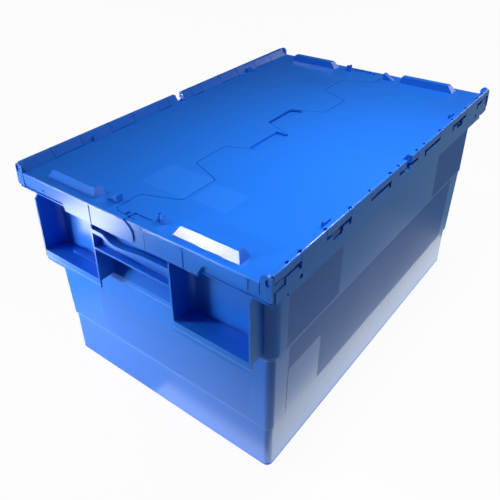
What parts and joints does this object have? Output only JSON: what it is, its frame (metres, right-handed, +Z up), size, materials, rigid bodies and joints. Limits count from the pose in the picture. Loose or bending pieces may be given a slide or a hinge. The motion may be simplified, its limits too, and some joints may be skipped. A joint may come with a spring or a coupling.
{
  "type": "attached lid storage crate",
  "caption": "Stepped stackable storage crate with end pockets and grips, closed by hinged lids that mesh along a toothed seam.",
  "frame": {"origin": "bottom centre of the base, on the surface it stands on", "axes": "+X along the length to the rear end, +Y across the width to the left long side, +Z up"},
  "size_m": [0.6, 0.4, 0.3251],
  "materials": {
    "crate_plastic": "semi-gloss, lightly textured",
    "rod_steel": "bright drawn wire"
  },
  "bodies": {
    "container": {"tub": "crate_plastic", "hinge_rod_right_front": "rod_steel", "hinge_rod_right_rear": "rod_steel", "hinge_rod_left_front": "rod_steel", "hinge_rod_left_rear": "rod_steel"},
    "right_cover": {"right_lid": "crate_plastic"},
    "left_cover": {"left_lid": "crate_plastic"}
  },
  "joints": [
    {"name": "right_lid_hinge", "type": "hinge", "parent": "container", "child": "right_cover", "pos_m": [0, -0.194, 0.319], "axis": [1, 0, 0], "range_deg": [0, 258]},
    {"name": "left_lid_hinge", "type": "hinge", "parent": "container", "child": "left_cover", "pos_m": [0, 0.194, 0.319], "axis": [-1, 0, 0], "range_deg": [0, 258]}
  ]
}
